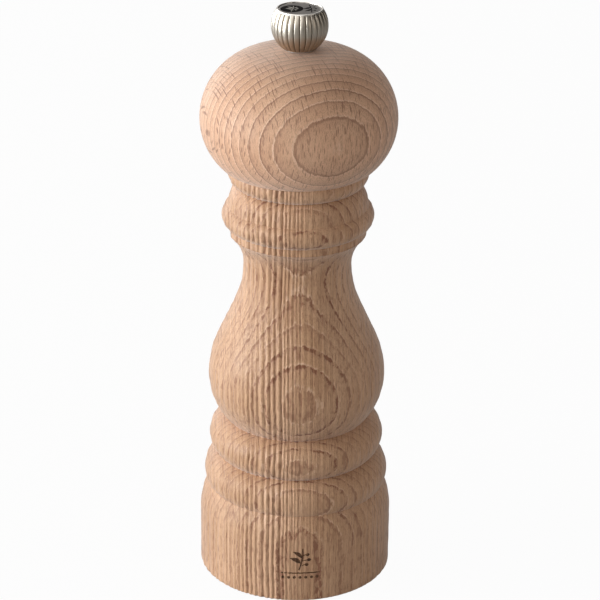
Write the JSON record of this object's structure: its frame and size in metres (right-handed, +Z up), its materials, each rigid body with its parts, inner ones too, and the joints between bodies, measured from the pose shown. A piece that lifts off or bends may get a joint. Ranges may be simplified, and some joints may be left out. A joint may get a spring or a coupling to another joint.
{
  "type": "pepper mill",
  "caption": "Turned beech pepper mill with a round head, a ringed collar and foot, a fluted metal knob and a steel burr mechanism inside.",
  "frame": {"origin": "centre of the round face the mill stands on, on the mill's axis", "axes": "+Z up along the mill's axis, -Y the side that is seen from the front"},
  "size_m": [0.0592, 0.0592, 0.1802],
  "materials": {
    "beech": "unfinished turned beech",
    "satin_nickel": "satin nickel plate",
    "bright_nickel": "polished nickel plate",
    "dark_disc": "spun grey metal with a printed dark patch",
    "burr_steel": "case-hardened cut steel",
    "zinc_steel": "bright zinc plate",
    "spring_steel": "drawn spring wire",
    "shaft_metal": "drawn square rod"
  },
  "bodies": {
    "body": {"wooden_body": "beech", "burr_ring": "burr_steel", "ring_plate": "zinc_steel", "ring_plate_screws": "zinc_steel", "retaining_bridge": "zinc_steel", "retaining_bridge_screws": "zinc_steel", "spring_bridge": "zinc_steel"},
    "drive": {"spring_washer": "zinc_steel", "pressure_spring": "spring_steel"},
    "spindle": {"drive_shaft": "shaft_metal", "burr_cone": "burr_steel", "cone_washer": "zinc_steel", "cone_clip": "spring_steel"},
    "head": {"wooden_head": "beech", "drive_plate": "zinc_steel", "drive_plate_screws": "zinc_steel"},
    "washer": {"knob_washer": "zinc_steel"},
    "knob": {"knob_shell": "satin_nickel", "knob_insert": "zinc_steel", "knob_bezel": "bright_nickel", "knob_disc": "dark_disc"}
  },
  "joints": [
    {"name": "grind_turn", "type": "hinge", "parent": "body", "child": "drive", "pos_m": [0, 0, 0], "axis": [0, 0, 1], "continuous": true},
    {"name": "spindle_set", "type": "slide", "parent": "drive", "child": "spindle", "axis": [0, 0, 1], "range_m": [-0.0009, 0.0009], "deforming": ["pressure_spring"]},
    {"name": "head_lift", "type": "slide", "parent": "drive", "child": "head", "axis": [0, 0, 1], "range_m": [0, 0.065]},
    {"name": "knob_lift", "type": "slide", "parent": "head", "child": "washer", "axis": [0, 0, 1], "range_m": [0, 0.012]},
    {"name": "knob_turn", "type": "hinge", "parent": "washer", "child": "knob", "pos_m": [0, 0, 0], "axis": [0, 0, 1], "range_deg": [-360, 360]}
  ],
  "couplings": [
    {"joint": "spindle_set", "follows": "knob_turn", "m_per_rad": -0.0001273}
  ]
}
